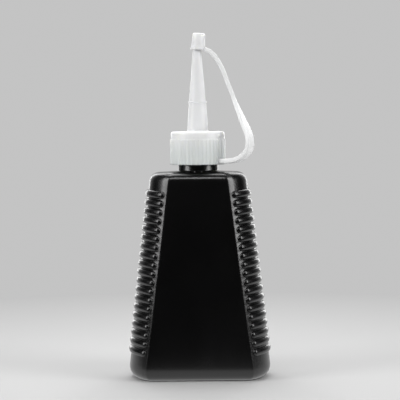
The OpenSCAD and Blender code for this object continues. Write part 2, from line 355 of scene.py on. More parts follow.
class PaintBoard(NodeBoard):
    """Node board of a new material."""

    def __init__(self, name: str) -> None:
        """Starts a material with a Principled shader.

        Args:
            name: name of the material.
        """
        self.material = bpy.data.materials.new(name)
        self.material.use_nodes = True
        super().__init__(self.material.node_tree, "BSDF_PRINCIPLED", "Object")


@dataclass(frozen=True)
class BlackPolyethylene:
    """Blown black polyethylene: near black, a little waxy, worn where the ribs stand proud."""

    deep: Triple = (0.0013, 0.0013, 0.0014)
    worn: Triple = (0.0040, 0.0040, 0.0043)
    wear: float = 0.8
    wear_span: Span = (0.25, 1.0)
    smear: Noise = (22.0, 6.0, (1, 1, 0.5))
    smear_gain: float = 1.7
    smear_span: Span = (0.35, 0.75)
    roughness: Span = (0.20, 0.28)
    sheen: float = 0.8
    bumps: Bumps = ((0.9, 2.0, 0.02), (0.25, 4.0, 0.006))

    def material(self) -> Paint:
        """Builds the material.

        Returns:
            The new material.
        """
        board = PaintBoard(Slot.BOTTLE.value)
        smear = board.noise(*self.smear)
        smeared = [c * self.smear_gain for c in self.deep]
        colour = board.ramp(smear, self.smear_span, self.deep, smeared)
        crest = board.add("ShaderNodeAttribute", attribute_name=CREST).outputs["Fac"]
        wear = board.spread(crest, 0.0, self.wear, self.wear_span)
        board.set(Base_Color=board.mix(wear, colour, self.worn))
        board.set(Roughness=board.spread(smear, *self.roughness), Specular_IOR_Level=self.sheen)
        board.roughen(self.bumps)
        return board.material


@dataclass(frozen=True)
class NaturalPolyethylene:
    """Moulded natural polyethylene: milky, with painted shade that greys it where the dark neck
    stands behind it.
    """

    name: str = Slot.CLOSURE.value
    milky: Triple = (0.815, 0.82, 0.82)
    # Painted shade: the skirt turns to this greyer tone from shade_z's first height down to its
    # second, in place of the dark neck seen through the milky wall
    shaded: Triple = (0.68, 0.71, 0.70)
    shade_z: Span = (104.5, 96.5)
    flow: Noise = (7.0, 4.0, (1, 1, 0.35))
    flow_dip: float = 0.95
    flow_span: Span = (0.3, 0.7)
    wax: Noise = (2.0, 3.0, (1, 1, 1))
    roughness: Span = (0.3, 0.4)
    bumps: Bumps = ((1.4, 2.0, 0.012), (0.3, 2.0, 0.003))
    depth: float = 0.6
    scatter: Triple = (1.0, 1.0, 0.9)
    scatter_reach: float = 2.6

    @classmethod
    def thin(cls) -> NaturalPolyethylene:
        """The same plastic on the strap, which is too thin for light to spread far in it."""
        pale = (0.85, 0.855, 0.855)
        return cls("natural_polyethylene_strap", milky=pale, shaded=pale, depth=0.0)

    def material(self) -> Paint:
        """Builds the material.

        Returns:
            The new material.
        """
        board = PaintBoard(self.name)
        flow = board.noise(*self.flow)
        dull = [c * self.flow_dip for c in self.milky]
        colour = board.ramp(flow, self.flow_span, dull, self.milky)
        # Painted shade: greyer towards the bottom of the skirt, in place of the dark neck seen
        # through the milky wall
        rise = board.add("ShaderNodeSeparateXYZ", {0: board.place}).outputs["Z"]
        shade = board.spread(rise, 0, 1, (self.shade_z[0] * MM, self.shade_z[1] * MM))
        wax = board.noise(*self.wax)
        board.set(Base_Color=board.mix(shade, colour, self.shaded))
        board.set(Roughness=board.spread(wax, *self.roughness))
        board.set(Subsurface_Weight=self.depth, Subsurface_Radius=self.scatter)
        board.set(Subsurface_Scale=self.scatter_reach * MM)
        board.roughen(self.bumps)
        return board.material


@dataclass(frozen=True)
class LinerFoam:
    """Fine white foamed washer."""

    white: Triple = (0.78, 0.78, 0.75)
    cell: float = 0.35
    cell_dip: float = 0.82
    cell_span: Span = (0.0, 0.6)
    cell_depth: float = 0.05
    roughness: float = 0.8

    def material(self) -> Paint:
        """Builds the material.

        Returns:
            The new material.
        """
        board = PaintBoard(Slot.LINER.value)
        inputs = {"Vector": board.place, "Scale": 1 / (self.cell * MM)}
        cells = board.add("ShaderNodeTexVoronoi", inputs).outputs["Distance"]
        dull = [c * self.cell_dip for c in self.white]
        tint = board.ramp(cells, self.cell_span, dull, self.white)
        board.set(Base_Color=tint, Roughness=self.roughness)
        board.bump([(cells, self.cell_depth)])
        return board.material


@dataclass(frozen=True)
class GraphitePowder:
    """Loose graphite: dark grey, soft, with a fine metallic glint."""

    dark: Triple = (0.030, 0.030, 0.032)
    glint: Triple = (0.13, 0.13, 0.14)
    metal: float = 0.35
    roughness: Span = (0.75, 0.45)
    grains: Noise = (0.4, 6.0, (1, 1, 1))
    grain_span: Span = (0.4, 0.72)
    bumps: Bumps = ((6.0, 4.0, 0.6), (0.4, 6.0, 0.12))

    def material(self) -> Paint:
        """Builds the material.

        Returns:
            The new material.
        """
        board = PaintBoard(Slot.POWDER.value)
        grains = board.noise(*self.grains)
        colour = board.ramp(grains, self.grain_span, self.dark, self.glint)
        board.set(Base_Color=colour, Roughness=board.spread(grains, *self.roughness))
        board.set(Metallic=self.metal)
        board.roughen(self.bumps)
        return board.material


# ---- Bottle ----


@dataclass(frozen=True)
class Level:
    """One level: height, inset, place across a rib and share of the ribs' climb."""

    z: float
    inset: float = 0.0
    across: float = NO_RIB
    climb: float = 0.0


@dataclass
class Bottle:
    """Black blown bottle: flat panels, rounded ribbed sides, and a neck with a screw thread."""

    finish: Paint
    height: float = 88.6
    shoulder_w: float = 41.1
    foot_w: float = 61.9
    shoulder_d: float = 26.0
    foot_d: float = 31.2
    side_zone_top: float = 8.8
    side_zone_foot: float = 7.8
    shoulder_r: float = 3.9
    foot_r: float = 5.6
    standing_ring: float = 2.2
    push_up: float = 0.9
    wall: float = 1.2
    floor: float = 1.4
    crown: float = 0.3
    rib_count: int = 19
    rib_pitch: float = 3.717
    top_rib_z: float = 79.6
    rib_rise: float = 1.1
    rib_w: float = 3.1
    rib_end_gap: float = 1.3
    rib_end_least: float = 0.2
    rib_tilt: float = 4.5
    seam_rise: float = 0.07
    seam_half: float = 0.2
    seam_guard: float = 0.34
    crease_band: float = 0.35
    crease_edge: float = 0.1
    crease_pull: float = 0.05
    neck_d: float = 17.2
    neck_h: float = 14.5
    neck_wall: float = 1.5
    neck_fillet: float = 0.5
    rim_r: float = 0.35
    thread_pitch: float = 3.175
    thread_turns: float = 1.5
    thread_rise: float = 1.1
    thread_z: float = 95.986
    sharp_angle: float = 40.0
    thread_sharp_angle: float = 35.0

    # Counts of columns and of steps along rounded edges
    PANEL_COLUMNS = 22
    STRAIGHT_COLUMNS = 6
    FOOT_STEPS = 14
    SHOULDER_STEPS = 10
    INNER_FOOT_STEPS = 6
    INNER_SHOULDER_STEPS = 5
    FILLET_STEPS = 4
    RIM_STEPS = 3
    # Columns along a rib's round end, from its tip, and levels across a rib
    ROUND_SHARES = (1.0, 0.97, 0.9, 0.78, 0.6, 0.4, 0.2, 0.0)
    ACROSS = (-1.0, -0.97, -0.88, -0.72, -0.5, -0.25, 0.0, 0.25, 0.5, 0.72, 0.88, 0.97, 1.0)
    # Height and inset past its ring of each level of the foot's hollow, in its heights
    HOLLOW = ((1.0, 1.6), (0.85, 1.0), (0.3, 0.25), (0.0, -0.3))
    # Levels in the plain bands under and over the ribs, rings round and under the neck
    LOW_BAND = (0.25, 0.5, 0.75)
    HIGH_BAND = (0.12, 0.4, 0.7)
    DECK = (0.15, 0.35, 0.6, 0.85, 1.0)
    CEILING = (0.3, 0.65)

    def half_w(self, z: float) -> float:
        """Half of the width at a height."""
        return (self.foot_w + (self.shoulder_w - self.foot_w) * z / self.height) / 2

    def half_d(self, z: float) -> float:
        """Half of the depth at a height."""
        return (self.foot_d + (self.shoulder_d - self.foot_d) * z / self.height) / 2

    def side_arc(self, z: float, inset: float) -> tuple[float, float]:
        """Size of the rounded side at a height.

        Args:
            z: the height.
            inset: distance of the skin from the full outline.

        Returns:
            The half angle of the arc, in radians, and its radius.
        """
        zone = self.side_zone_foot + (self.side_zone_top - self.side_zone_foot) * z / self.height
        depth = self.half_d(z) - inset
        turn = 2 * math.atan((zone - inset / 2) / depth)
        return turn, depth / math.sin(turn)

    def side_spots(self, level: Level) -> list[tuple[float, float]]:
        """Columns from a panel's edge to the middle of the side, closer at narrow rib ends.

        Args:
            level: the level of the section.

        Returns:
            (angle from the middle of the side, share along the rib's round end) pairs.
        """
        turn, radius = self.side_arc(level.z, level.inset)
        narrow = max(self.rib_end_least, math.sqrt(max(0.0, 1 - level.across**2)))
        edge = [(turn - gap / radius, 1.0) for gap in (0.0, self.crease_band, self.rib_end_gap / 2)]
        shares = [s * narrow for s in self.ROUND_SHARES]
        half_rib = self.rib_w / 2
        ends = [(turn - (self.rib_end_gap + (1 - s) * half_rib) / radius, s) for s in shares]
        guard = self.seam_guard / radius
        last, count = ends[-1][0], self.STRAIGHT_COLUMNS
        run = [(guard + (last - guard) * (1 - i / count), 0.0) for i in range(1, count + 1)]
        return edge + ends + run + [(self.seam_half / radius, 0.0)]

    def side_point(self, level: Level, angle: float, share: float) -> Vector:
        """A point of the right side, lowered towards the panel by the climb of the ribs.

        Args:
            level: the level of the section.
            angle: angle from the middle of the side.
            share: share along the rib's round end.

        Returns:
            The point, in millimetres.
        """
        drop = self.side_arc(level.z, level.inset)[1] * (1 - math.cos(angle))
        z = level.z - level.climb * math.tan(math.radians(self.rib_tilt)) * drop
        turn, radius = self.side_arc(z, level.inset)
        rise = self.rib_rise * math.sqrt(max(0.0, 1 - level.across**2 - share**2))
        if abs(angle) < self.seam_half / radius / 2 and level.inset < self.shoulder_r:
            rise += self.seam_rise
        if share >= 1 and abs(angle) > turn - self.crease_edge * self.crease_band / radius:
            rise -= self.crease_pull
        out = radius + rise
        x = self.half_w(z) - level.inset - radius + out * math.cos(angle)
        return Vector((x, out * math.sin(angle), z))

    def ring(self, level: Level) -> Ring:
        """All the points of one level.

        Args:
            level: the level.

        Returns:
            The points, from the front edge of the right side round to the front panel.
        """
        spots = self.side_spots(level)
        spots = [(-a, s) for a, s in spots] + [(0.0, 0.0)] + spots[::-1]
        side = [self.side_point(level, a, s) for a, s in spots]
        edge, count = side[-1], self.PANEL_COLUMNS
        depth = self.half_d(edge.z) - level.inset
        reach = edge.x - self.crease_band
        xs = [reach - 2 * reach * i / (count - 1) for i in range(count)]
        half = side + [Vector((x, depth, edge.z)) for x in xs]
        return half + [Vector((-p.x, -p.y, p.z)) for p in half]

    @staticmethod
    def round_levels(z: float, radius: float, rising: bool, steps: int) -> list[Level]:
        """Levels of a rounded edge, from its lower end to its upper end.

        Args:
            z: height of the flat face that the edge rounds off.
            radius: radius of the rounding.
            rising: whether the flat face is below the rounding.
            steps: number of steps.

        Returns:
            The levels.
        """
        angles = [FULL_TURN / 4 * i / steps for i in range(steps + 1)]
        swung = [(radius * (1 - math.cos(a)), radius * (1 - math.sin(a))) for a in angles]
        if rising:
            return [Level(z + cosine, sine) for cosine, sine in swung]
        return [Level(z - sine, cosine) for cosine, sine in swung]

    @staticmethod
    def between(low: Level, high: Level, t: float) -> Level:
        """A level without a rib between two others."""
        climb = low.climb + (high.climb - low.climb) * smooth_step(t)
        return Level(low.z + (high.z - low.z) * t, climb=climb)

    def outside(self) -> list[Ring]:
        """Rings of the body's outside.

        Returns:
            The rings, from the middle of the foot to the edge of the shoulder.
        """
        ring_in, unit = self.foot_r + self.standing_ring, self.push_up
        foot = [Level(unit * rise, ring_in + unit * inset) for rise, inset in self.HOLLOW]
        foot += self.round_levels(0.0, self.foot_r, True, self.FOOT_STEPS)
        lowest = self.top_rib_z - (self.rib_count - 1) * self.rib_pitch
        rows = [lowest + k * self.rib_pitch for k in range(self.rib_count)]
        ribs = [Level(z + s * self.rib_w / 2, 0.0, s, 1.0) for z in rows for s in self.ACROSS]
        shoulder = self.round_levels(self.height, self.shoulder_r, False, self.SHOULDER_STEPS)
        low = [self.between(foot[-1], ribs[0], t) for t in self.LOW_BAND]
        high = [self.between(ribs[-1], shoulder[0], t) for t in self.HIGH_BAND]
        rings = [self.ring(level) for level in foot + low + ribs + high + shoulder]
        middle = Vector((0, 0, self.push_up))
        return [[middle] * len(rings[0])] + rings

    def inside(self) -> list[Ring]:
        """Rings of the hollow.

        Returns:
            The rings, from the edge of its shoulder down to the middle of its floor.
        """
        floor_z, top_r = self.push_up + self.floor, self.shoulder_r - self.wall
        foot = self.round_levels(floor_z, self.foot_r - self.wall, True, self.INNER_FOOT_STEPS)
        top = self.round_levels(self.height - self.wall, top_r, False, self.INNER_SHOULDER_STEPS)
        rings = [self.ring(Level(v.z, v.inset + self.wall)) for v in reversed(foot + top)]
        middle = Vector((0, 0, floor_z))
        return rings + [[middle] * len(rings[0])]

    def shell(self) -> Piece:
        """Models the body, neck and hollow as one closed skin.

        Returns:
            The new piece.
        """
        outside, inside = self.outside(), self.inside()
        edge, inner_edge = outside[-1], inside[0]
        bearings = [math.atan2(p.y, p.x) for p in edge]
        neck_r, top = self.neck_d / 2, self.height + self.neck_h
        bore_r, rim_r, fillet_r = neck_r - self.neck_wall, self.rim_r, self.neck_fillet
        deck = self.height + self.crown
        root = circle(bearings, neck_r + fillet_r, deck)
        fillet = arc(neck_r + fillet_r, deck + fillet_r, fillet_r, 270, 180, self.FILLET_STEPS)
        rim = arc(neck_r - rim_r, top - rim_r, rim_r, 0, 90, self.RIM_STEPS)
        rim += arc(bore_r + rim_r, top - rim_r, rim_r, 90, 180, self.RIM_STEPS)
        outline = fillet[1:] + [(neck_r, self.thread_z)] + rim + [(bore_r, self.thread_z)]
        under = circle(bearings, bore_r, self.height - self.wall)
        rings = outside + [across(edge, root, t) for t in self.DECK]
        rings += [circle(bearings, r, z) for r, z in outline] + [under]
        rings += [across(under, inner_edge, t) for t in self.CEILING] + inside
        piece = skin("bottle_shell", rings, End.POLE)
        self.mark_crests(piece)
        return piece

    def mark_crests(self, piece: Piece) -> None:
        """Stores how far each point stands out from the plain side, for the wear on the ribs.

        Args:
            piece: the bottle's skin.
        """
        crest = piece.data.attributes.new(CREST, "FLOAT", "POINT")
        for vertex, value in zip(piece.data.vertices, crest.data):
            x, y, z = (c / MM for c in vertex.co)
            if not self.foot_r < z < self.height - self.shoulder_r:
                continue
            radius = self.side_arc(z, 0.0)[1]
            past_centre = abs(x) - self.half_w(z) + radius
            out = math.hypot(past_centre, y) - radius
            value.value = min(max(out / self.rib_rise, 0.0), 1.0) if past_centre > 0 else 0.0

    def thread(self, name: str, root_r: float, rise: float, start_z: float) -> Piece:
        """Models a screw thread with the neck's pitch and length."""
        return ScrewThread(root_r, rise, start_z, self.thread_pitch, self.thread_turns).piece(name)

    def build(self) -> None:
        """Makes and dresses the bottle's pieces."""
        shell = self.shell()
        thread = self.thread("neck_thread", self.neck_d / 2, self.thread_rise, self.thread_z)
        for piece, angle in ((shell, self.sharp_angle), (thread, self.thread_sharp_angle)):
            dress(piece, self.finish, angle)
            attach(piece, "bottle")
            report(piece)
        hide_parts("bottle")


@dataclass(frozen=True)
class ScrewThread:
    """A helical ridge whose ends run out. A negative rise makes it stand inwards."""

    root_r: float
    rise: float
    start_z: float
    pitch: float
    turns: float
    root_w: float = 1.5
    crest_w: float = 0.6
    embed: float = 0.2
    run_out: float = 0.12
    steps_per_turn: int = 64

    def ring(self, share: float) -> Ring:
        """One ring of the ridge.

        Args:
            share: share of the ridge's length.

        Returns:
            The ring's points, in millimetres.
        """
        fade = smooth_step(min(share, 1 - share) / self.run_out)
        root = self.root_r - math.copysign(self.embed, self.rise)
        crest = self.root_r + self.rise * fade
        foot_w, crest_w = self.root_w / 2 * fade, self.crest_w / 2 * fade
        half = [(root, self.root_w / 2), (self.root_r, foot_w), (crest, crest_w)]
        section = [(r, -w) for r, w in half] + half[::-1]
        angle = FULL_TURN * self.turns * share
        lift = self.start_z + self.pitch * self.turns * share
        return [Vector((r * math.cos(angle), r * math.sin(angle), lift + z)) for r, z in section]

    def piece(self, name: str) -> Piece:
        """Models the ridge as a closed skin."""
        steps = round(self.turns * self.steps_per_turn)
        return skin(name, [self.ring(i / steps) for i in range(steps + 1)], End.FLAT)


# ---- Closure with its spout ----


@dataclass
class Closure:
    """Pale screw closure and its long spout, one moulding."""

    finish: Paint
    bottle: Bottle
    outer_d: float = 23.2
    gap: float = 3.1
    roof: float = 1.6
    liner: float = 1.2
    edge_r: float = 1.2
    thread_clearance: float = 0.25
    knurl_count: int = 44
    knurl_steps: int = 10
    knurl_base: float = 0.18
    knurl_rise: float = 0.17
    knurl_drop: float = 3.3
    knurl_fade: float = 0.45
    spout_l: float = 38.4
    spout_foot_d: float = 8.9
    spout_fillet: float = 0.7
    bead_rise: float = 12.5
    bead_d: float = 7.4
    bead_step: float = 0.14
    bead_r: float = 0.33
    tip_d: float = 2.95
    tip_edge: float = 0.2
    spout_wall: float = 1.1
    orifice_d: float = 1.5
    orifice_l: float = 3.0
    chamfer: float = 0.2
    sharp_angle: float = 38.0

    # Levels up the knurled skirt, and start, end and steps of the rounded edges
    SKIRT_SHARES = (0.0, 0.25, 0.5, 0.75, 0.93, 0.96, 0.98, 1.0)
    ROOF_ARC = (0, 90, 8)
    FILLET_ARC = (270, 184, 6)
    BEAD_ARC = (-80, 80, 8)
    TIP_ARC = (0, 90, 4)
    # Play in telling the skirt's outside from its chamfer and top
    CHAMFER_PLAY = 1.1
    TOP_PLAY = 0.01

    def __post_init__(self) -> None:
        """Works out the heights that the pieces share."""
        neck = self.bottle
        self.skirt_z = neck.height + self.gap
        self.under_z = neck.height + neck.neck_h + self.liner
        self.top_z = self.under_z + self.roof
        self.tip_z = self.top_z + self.spout_l
        self.outer_r = self.outer_d / 2
        self.bore_r = neck.neck_d / 2 + neck.thread_rise + self.thread_clearance
        self.knurl_top = self.top_z - self.knurl_drop

    def skirt_outline(self) -> Outline:
        """Outline of the skirt's outside.

        Returns:
            (radius, height) pairs, from its bottom edge to the roof's edge.
        """
        cut, base = self.chamfer, self.skirt_z + self.chamfer
        low = [(self.bore_r + cut, self.skirt_z), (self.outer_r - cut, self.skirt_z)]
        rise = self.knurl_top - base
        side = [(self.outer_r, base + rise * share) for share in self.SKIRT_SHARES]
        return low + side + [(self.outer_r, self.knurl_top + cut)]

    def spout_outline(self) -> Outline:
        """Outline of the spout's outside.

        Returns:
            (radius, height) pairs, from its foot to its tip.
        """
        foot_r, bead_r, tip_r = self.spout_foot_d / 2, self.bead_d / 2, self.tip_d / 2
        bend, bead_z = self.spout_fillet, self.top_z + self.bead_rise
        fillet = arc(foot_r + bend, self.top_z + bend, bend, *self.FILLET_ARC)
        bead = [(bead_r, bead_z - self.bead_r)]
        bead += arc(bead_r, bead_z, self.bead_r, *self.BEAD_ARC)
        bead += [(bead_r - self.bead_step, bead_z + self.bead_r)]
        edge = self.tip_edge
        return fillet + bead + arc(tip_r - edge, self.tip_z - edge, edge, *self.TIP_ARC)

    def bore_outline(self) -> Outline:
        """Outline of the bore.

        Returns:
            (radius, height) pairs, from the tip's hole down to the inside of the skirt.
        """
        hole_r, bore_r, cut = self.orifice_d / 2, self.bore_r, self.chamfer
        bead_r = self.bead_d / 2 - self.bead_step - self.spout_wall
        return [
            (hole_r + cut / 2, self.tip_z),
            (hole_r, self.tip_z - cut / 2),
            (hole_r, self.tip_z - self.orifice_l),
            (bead_r, self.top_z + self.bead_rise),
            (self.spout_foot_d / 2 - self.spout_wall, self.under_z),
            (bore_r - cut, self.under_z),
            (bore_r, self.under_z - cut),
            (bore_r, self.skirt_z + cut),
        ]

    def shell(self) -> Piece:
        """Turns the closure and its spout, and raises the knurls on the skirt.

        Returns:
            The new piece.
        """
        edge = self.edge_r
        roof = arc(self.outer_r - edge, self.top_z - edge, edge, *self.ROOF_ARC)
        outline = self.skirt_outline() + roof + self.spout_outline() + self.bore_outline()
        piece = turned("closure_with_spout", outline, self.knurl_count * self.knurl_steps)
        self.raise_knurls(piece)
        return piece

    def raise_knurls(self, piece: Piece) -> None:
        """Moves the points of the skirt out where a knurl stands.

        Args:
            piece: the turned closure.
        """
        pitch = FULL_TURN / self.knurl_count
        least_r = self.outer_r - self.chamfer * self.CHAMFER_PLAY
        for vertex in piece.data.vertices:
            x, y, z = (c / MM for c in vertex.co)
            radius = math.hypot(x, y)
            if radius < least_r or z > self.knurl_top + self.chamfer / 2:
                continue
            share = (math.atan2(y, x) % pitch) / pitch
            below_top = (self.knurl_top + self.TOP_PLAY - z) / self.knurl_fade
            fade = math.sqrt(max(0.0, min(1.0, below_top)))
            wave = self.knurl_base + self.knurl_rise * math.sin(math.pi * share) ** 2
            wider = (radius + wave * fade) / radius
            vertex.co = Vector((x * wider, y * wider, z)) * MM

    def build(self) -> None:
        """Makes and dresses the closure's pieces."""
        shell, neck = self.shell(), self.bottle
        thread_z = neck.thread_z - neck.thread_pitch / 2
        thread = neck.thread("closure_thread", self.bore_r, -neck.thread_rise, thread_z)
        for piece, angle in ((shell, self.sharp_angle), (thread, neck.thread_sharp_angle)):
            dress(piece, self.finish, angle)
            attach(piece, "closure")
            report(piece)
        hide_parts("spout_closure")


# ---- Strap and tip cap ----


@dataclass(frozen=True)
class StrapRun:
    """A stretch of the strap, with its ends in counts of places."""

    name: str
    start: float
    end: float
    fold: Span
    bodies: tuple[str, str]
    node: str


@dataclass
class Strap:
    """Flat strap that grows out of the skirt, bows out to the side and ends on the tip cap."""

    finish: Paint
    closure: Closure
    width: float = 4.7
    thickness: float = 1.72
    root_swell: float = 0.33
    swell_share: float = 0.25
    corner_r: float = 0.4
    corner_steps: int = 4
    reach: float = 21.8
    root_rise: float = 1.5
    root_angle: float = 32.0
    end_gap: float = 1.2
    cap_mouth_d: float = 5.95
    cap_grip: float = 3.6
    rings_per_place: int = 8
    slope_step: float = 0.02
    sharp_angle: float = 40.0

    # Places of the middle line under and over its farthest one, in shares of reach and rise
    LOW = ((0.0, 0.0), (0.298, 0.0), (0.637, 0.017), (0.895, 0.068), (0.992, 0.124), (1.0, 0.198))
    HIGH = (
        (0.946, 0.274), (0.844, 0.371), (0.683, 0.525), (0.511, 0.696),
        (0.376, 0.828), (0.231, 0.923), (0.108, 0.976), (0.0, 0.996),
    )
    # Shares of the rise between which the strap turns from the front to the side
    TWIST_SPAN = (0.15, 0.65)
    RUNS = (
        StrapRun("strap_root", 0.0, 1.5, (0.72, 1.28), ("closure", "strap_1"), "strap_link_1"),
        StrapRun("strap_bend", 1.5, 4.5, (1.6, 2.5), ("strap_1", "strap_2"), "strap_link_2"),
        StrapRun("strap_middle", 4.5, 8.5, (5.8, 8.2), ("strap_2", "strap_3"), "strap_link_3"),
        StrapRun("strap_upper", 8.5, 11.5, (8.9, 11.2), ("strap_3", "strap_4"), "strap_link_4"),
        StrapRun("strap_tip", 11.5, 13.5, (12.35, 13.25), ("strap_4", "tip_cap"), ""),
    )

    def __post_init__(self) -> None:
        """Works out the places of the middle line, with one more past each end."""
        root_r = (self.closure.bore_r + self.closure.outer_r) / 2
        root_x = root_r * math.cos(math.radians(self.root_angle))
        self.root_z = self.closure.skirt_z + self.root_rise
        self.mouth_z = self.closure.tip_z - self.cap_grip
        end_x = self.cap_mouth_d / 2 + self.end_gap
        places = [self.place(root_x + (self.reach - root_x) * x, z) for x, z in self.LOW]
        places += [self.place(end_x + (self.reach - end_x) * x, z) for x, z in self.HIGH]
        before, after = 2 * places[0] - places[1], 2 * places[-1] - places[-2]
        self.places = [before, *places, after]

    def twist(self, z_share: float) -> float:
        """How far the strap is still turned to the front at a share of its rise, in radians."""
        low, high = self.TWIST_SPAN
        return math.radians(self.root_angle) * (1 - smooth_step((z_share - low) / (high - low)))

    def place(self, x: float, z_share: float) -> Vector:
        """A place of the middle line."""
        z = self.root_z + (self.mouth_z - self.root_z) * z_share
        return Vector((x, -x * math.tan(self.twist(z_share)), z))

    def curve(self, u: float) -> Vector:
        """The middle line, on a smooth curve through its places.

        Args:
            u: count of places from the root.

        Returns:
            The point, in millimetres.
        """
        last = len(self.places) - 3
        if u > last:
            return self.curve(last) + (u - last) * (self.places[-2] - self.places[-3])
        i = min(int(u), last - 1)
        t = u - i
        a, b, c, d = self.places[i : i + 4]
        even = 2 * b + (c - a) * t + (2 * a - 5 * b + 4 * c - d) * t * t
        return (even + (3 * b - a - 3 * c + d) * t**3) / 2

    def section(self, z_share: float) -> Outline:
        """Outline of the flat section, with round corners.

        Args:
            z_share: share of the strap's rise.

        Returns:
            (place across the width, place across the thickness) pairs.
        """
        swell = self.root_swell * (1 - smooth_step(z_share / self.swell_share))
        half_w, half_t, r = self.width / 2, (self.thickness + swell) / 2, self.corner_r
        x, y, points = half_w - r, half_t - r, []
        for k, (cx, cy) in enumerate(((x, y), (-x, y), (-x, -y), (x, -y))):
            points += arc(cx, cy, r, 90 * k, 90 * (k + 1), self.corner_steps)
        return points

    def ring(self, u: float) -> Ring:
        """One ring of the strap.

        Args:
            u: count of places from the root.

        Returns:
            The ring's points, in millimetres.
        """
        centre, step = self.curve(u), self.slope_step
        along = (self.curve(u + step) - self.curve(u - step if u > step else 0.0)).normalized()
        share = (centre.z - self.root_z) / (self.mouth_z - self.root_z)
        twist = self.twist(share)
        wide = Vector((math.sin(twist), math.cos(twist), 0))
        wide = (wide - along * wide.dot(along)).normalized()
        thick = along.cross(wide)
        return [centre + wide * w + thick * t for w, t in self.section(share)]

    def run(self, stretch: StrapRun) -> Piece:
        """Models one stretch of the strap as a closed skin.

        Args:
            stretch: the stretch.

        Returns:
            The new piece.
        """
        length = stretch.end - stretch.start
        steps = round(length * self.rings_per_place)
        rings = [self.ring(stretch.start + length * i / steps) for i in range(steps + 1)]
        return skin(stretch.name, rings, End.FLAT)

    def build(self) -> None:
        """Makes and dresses the strap's stretches."""
        for stretch in self.RUNS:
            piece = self.run(stretch)
            dress(piece, self.finish, self.sharp_angle)
            start, end = (self.curve(u) * MM for u in stretch.fold)
            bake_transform(piece)
            if stretch.node:
                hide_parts(stretch.node)
            report(piece)


@dataclass
class TipCap:
    """Small cap over the spout's tip, leaning a little away from the strap."""

    finish: Paint
    strap: Strap
    height: float = 7.15
    top_d: float = 5.3
    side_step: float = 0.58
    lip: float = 0.25
    lip_h: float = 1.1
    lip_edge: float = 0.15
    edge_r: float = 0.6
    gate_r: float = 0.75
    gate_floor_r: float = 0.6
    gate_depth: float = 0.12
    play: float = 0.7
    flare: float = 0.25
    flare_h: float = 1.2
    cavity_gap: float = 0.5
    lean: float = 4.0
    steps: int = 96
    sharp_angle: float = 38.0

    CROWN_ARC = (4, 90, 8)

    def outline(self) -> Outline:
        """Closed outline of the cap.

        Returns:
            (radius, height) pairs, from the mouth's edge up the outside and down the cavity.
        """
        closure, grip = self.strap.closure, self.strap.cap_grip
        tip_r, bead_top_r = closure.tip_d / 2, closure.bead_d / 2 - closure.bead_step
        taper = (bead_top_r - tip_r) * grip / (closure.spout_l - closure.bead_rise)
        mouth_r, top_r = tip_r + taper + self.play, tip_r + self.play
        wall_r, cavity = self.strap.cap_mouth_d / 2, grip + self.cavity_gap
        lip_r, lip_h, soft = wall_r + self.lip, self.lip_h, self.lip_edge
        flare_r = mouth_r + (top_r - mouth_r) * self.flare_h / cavity
        lip = [(mouth_r + self.flare, 0.0), (lip_r - soft, 0.0), (lip_r, soft)]
        lip += [(lip_r, lip_h - soft), (lip_r - soft, lip_h), (wall_r, lip_h + self.lip)]
        edge, crown_r = self.edge_r, self.top_d / 2
        crown = arc(crown_r - edge, self.height - edge, edge, *self.CROWN_ARC)
        gate_z = self.height - self.gate_depth
        gate = [(self.gate_r, self.height), (self.gate_floor_r, gate_z), (0.0, gate_z)]
        return lip + crown + gate + [(0.0, cavity), (top_r, cavity), (flare_r, self.flare_h)]

    def build(self) -> None:
        """Makes, leans and dresses the cap."""
        piece = turned("tip_cap_shell", self.outline(), self.steps)
        begin_edit(piece)
        mouth_z = self.strap.mouth_z
        bpy.ops.transform.translate(value=(self.side_step * MM, 0, mouth_z * MM))
        pivot, turn = (0, 0, (mouth_z + self.strap.cap_grip / 2) * MM), -math.radians(self.lean)
        bpy.ops.transform.rotate(
            value=turn, orient_axis="Y", orient_type="GLOBAL", center_override=pivot
        )
        bpy.ops.object.mode_set(mode="OBJECT")
        dress(piece, self.finish, self.sharp_angle)
        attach(piece, "tip_cap")
        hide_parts("tip_cap")
        report(piece)


# ---- Studio ----


@dataclass(frozen=True)
class SoftBox:
    """A soft rectangular lamp that the camera doesn't see, with its sizes in metres."""

    name: str
    place: Triple
    width: float
    height: float
    glow: float
    aim: Triple = (0.0, 0.0, 0.08)

    def light(self) -> None:
        """Hangs the lamp, turns it to its aim and sets its power for the glow of its face."""
        deselect_all()
        bpy.ops.object.light_add(type="AREA", location=self.place)
        lamp = bpy.context.object
        lamp.name = self.name
        lamp.visible_camera = False
        lamp.data.shape = "RECTANGLE"
        lamp.data.size, lamp.data.size_y = self.width, self.height
        lamp.data.energy = math.pi * self.width * self.height * self.glow
        aim = Vector(self.aim) - Vector(self.place)
        lamp.rotation_euler = aim.to_track_quat("-Z", "Y").to_euler()


